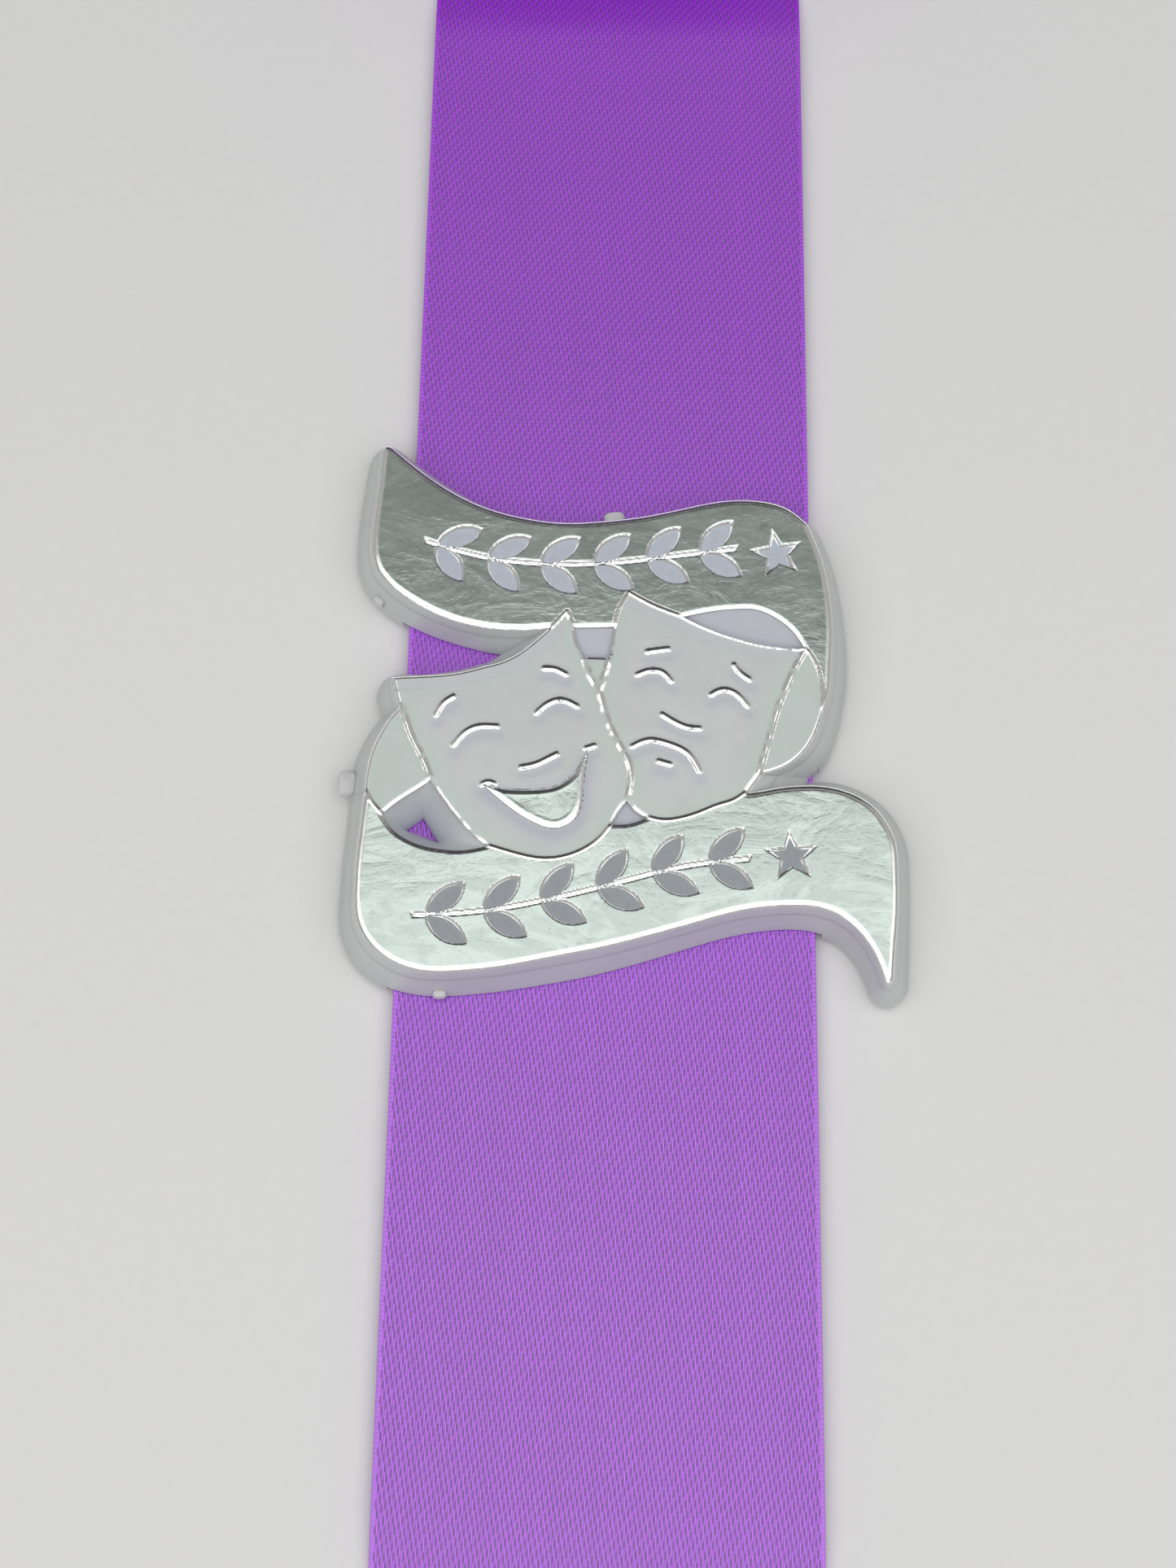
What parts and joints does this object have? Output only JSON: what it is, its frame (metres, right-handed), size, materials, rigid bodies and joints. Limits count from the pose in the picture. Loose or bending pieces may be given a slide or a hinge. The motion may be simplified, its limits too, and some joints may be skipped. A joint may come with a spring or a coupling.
{
  "type": "neck ribbon medal",
  "caption": "Scroll-shaped theatre-mask medal in milky translucent plastic that slides on a wide flat satin neck ribbon.",
  "frame": {"origin": "on the surface the medal lies on, under the ribbon's centreline, at the emblem's back plate", "axes": "+X across the ribbon to the right, +Y along the ribbon towards the wearer's neck, +Z out of the emblem's face"},
  "size_m": [0.0526, 0.1809, 0.0158],
  "materials": {
    "milky_plastic": "glossy, slightly translucent",
    "silvered_face": "mirror-like silvering on milky plastic, slightly streaky",
    "matte_inlay": "matte",
    "rivet_metal": "satin",
    "satin_ribbon": "satin weave",
    "seam_thread": "matte"
  },
  "bodies": {
    "ribbon": {"ribbon_front_strand": "satin_ribbon", "ribbon_back_strand": "satin_ribbon", "ribbon_bottom_fold": "satin_ribbon", "ribbon_roll": "satin_ribbon", "ribbon_seam": "seam_thread"},
    "emblem": {"medallion_body": "milky_plastic", "upper_banner": "silvered_face", "lower_banner": "silvered_face", "upper_ornament": "matte_inlay", "lower_ornament": "matte_inlay", "comedy_mask": "milky_plastic", "comedy_mouth": "silvered_face", "tragedy_mask": "milky_plastic", "right_fold": "milky_plastic", "left_fold": "milky_plastic", "centre_fold": "milky_plastic", "ribbon_keeper": "milky_plastic", "keeper_rivets": "rivet_metal"}
  },
  "joints": [
    {"name": "emblem_slide", "type": "slide", "parent": "ribbon", "child": "emblem", "axis": [0, 1, 0], "range_m": [-0.04, 0.04]}
  ]
}
